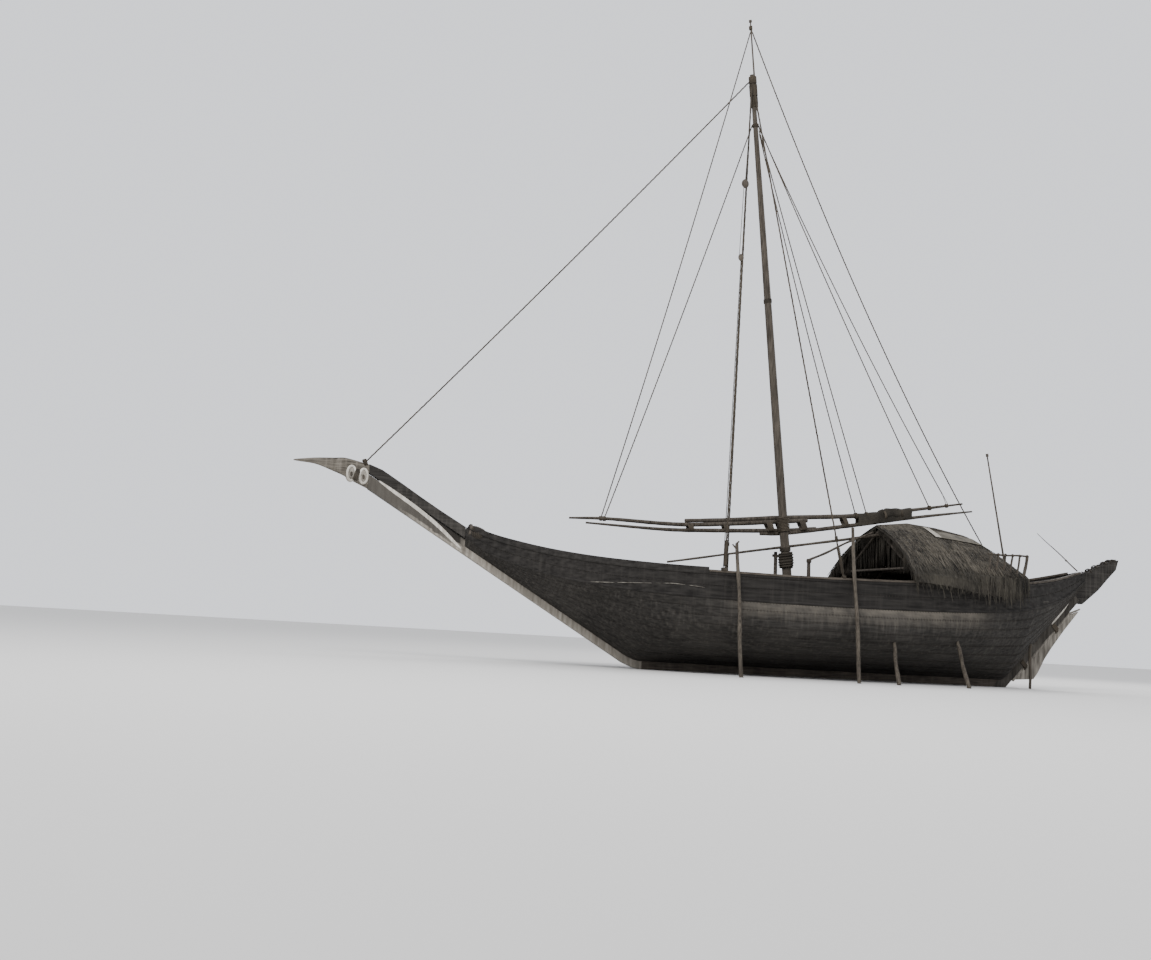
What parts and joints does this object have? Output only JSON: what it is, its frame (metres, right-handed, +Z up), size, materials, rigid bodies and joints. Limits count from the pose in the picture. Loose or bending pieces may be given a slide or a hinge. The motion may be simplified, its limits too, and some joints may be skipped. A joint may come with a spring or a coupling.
{
  "type": "sewn coasting sailing boat",
  "caption": "Large double-ended boat of sewn planks with a beaked prow, raked mast, thatched deckhouse, raked stern rudder and shoring poles, beached on its keel.",
  "frame": {"origin": "centre of the bounding box seen from above, on the ground plane under the keel", "axes": "+X towards the stern, +Y to starboard, +Z up; the bow points to -X"},
  "size_m": [24.1506, 6.7047, 18.4376],
  "materials": {
    "dark_planking": "matt",
    "tarred_strake": "matt",
    "limewashed_timber": "matt",
    "grey_timber": "matt",
    "spar_timber": "matt",
    "mangrove_pole": "matt",
    "palm_thatch": "matt",
    "coir_rope": "matt",
    "woven_mat": "matt"
  },
  "bodies": {
    "hull": {"keel": "grey_timber", "stem": "limewashed_timber", "sternpost": "limewashed_timber", "stern_head": "dark_planking", "prow_neck": "dark_planking", "prow_head": "limewashed_timber", "bottom_planking_port": "dark_planking", "bottom_planking_starboard": "dark_planking", "side_planking_port": "dark_planking", "side_planking_starboard": "dark_planking", "wash_strake_port": "tarred_strake", "wash_strake_starboard": "tarred_strake", "gunwale_rail_port": "grey_timber", "gunwale_rail_starboard": "grey_timber", "keelson": "grey_timber", "frame_1": "grey_timber", "frame_2": "grey_timber", "frame_3": "grey_timber", "frame_4": "grey_timber", "frame_5": "grey_timber", "frame_6": "grey_timber", "cross_beam_1": "grey_timber", "cross_beam_2": "grey_timber", "cross_beam_3": "grey_timber", "cross_beam_4": "grey_timber", "poop_deck": "grey_timber", "fore_deck": "grey_timber", "mast": "spar_timber", "topmast_pole": "spar_timber", "masthead_serving": "coir_rope", "forestay": "coir_rope", "shroud_port_fore": "coir_rope", "shroud_port_aft": "coir_rope", "shroud_starboard_fore": "coir_rope", "shroud_starboard_aft": "coir_rope", "backstay": "coir_rope", "rudder_lashing_1": "coir_rope", "rudder_lashing_2": "coir_rope", "roof_thatch_port": "palm_thatch", "roof_thatch_starboard": "palm_thatch", "house_frame": "mangrove_pole", "mast_bitts": "grey_timber", "flagstaff": "mangrove_pole", "quarter_rail_port": "mangrove_pole", "quarter_rail_starboard": "mangrove_pole", "spare_pole": "mangrove_pole", "shore_1_port": "mangrove_pole", "shore_1_starboard": "mangrove_pole", "shore_2_port": "mangrove_pole", "shore_2_starboard": "mangrove_pole", "shore_3_port": "mangrove_pole", "shore_4_port": "mangrove_pole", "shore_5_port": "mangrove_pole"},
    "yard": {"yard": "spar_timber", "boom": "spar_timber", "mat_bundle": "woven_mat", "parrel": "coir_rope", "yard_lift_fore": "coir_rope", "yard_lift_aft": "coir_rope"},
    "rudder": {"rudder": "limewashed_timber"}
  },
  "joints": [
    {"name": "yard_swing", "type": "hinge", "parent": "hull", "child": "yard", "pos_m": [1.29927, 0, 4.13467], "axis": [-0.1194, 0, 0.9928], "range_deg": [-20, 20]},
    {"name": "rudder_steer", "type": "hinge", "parent": "hull", "child": "rudder", "pos_m": [9.61019, 0, 1.27992], "axis": [0.6767, 0, 0.7363], "range_deg": [-35, 35]}
  ]
}
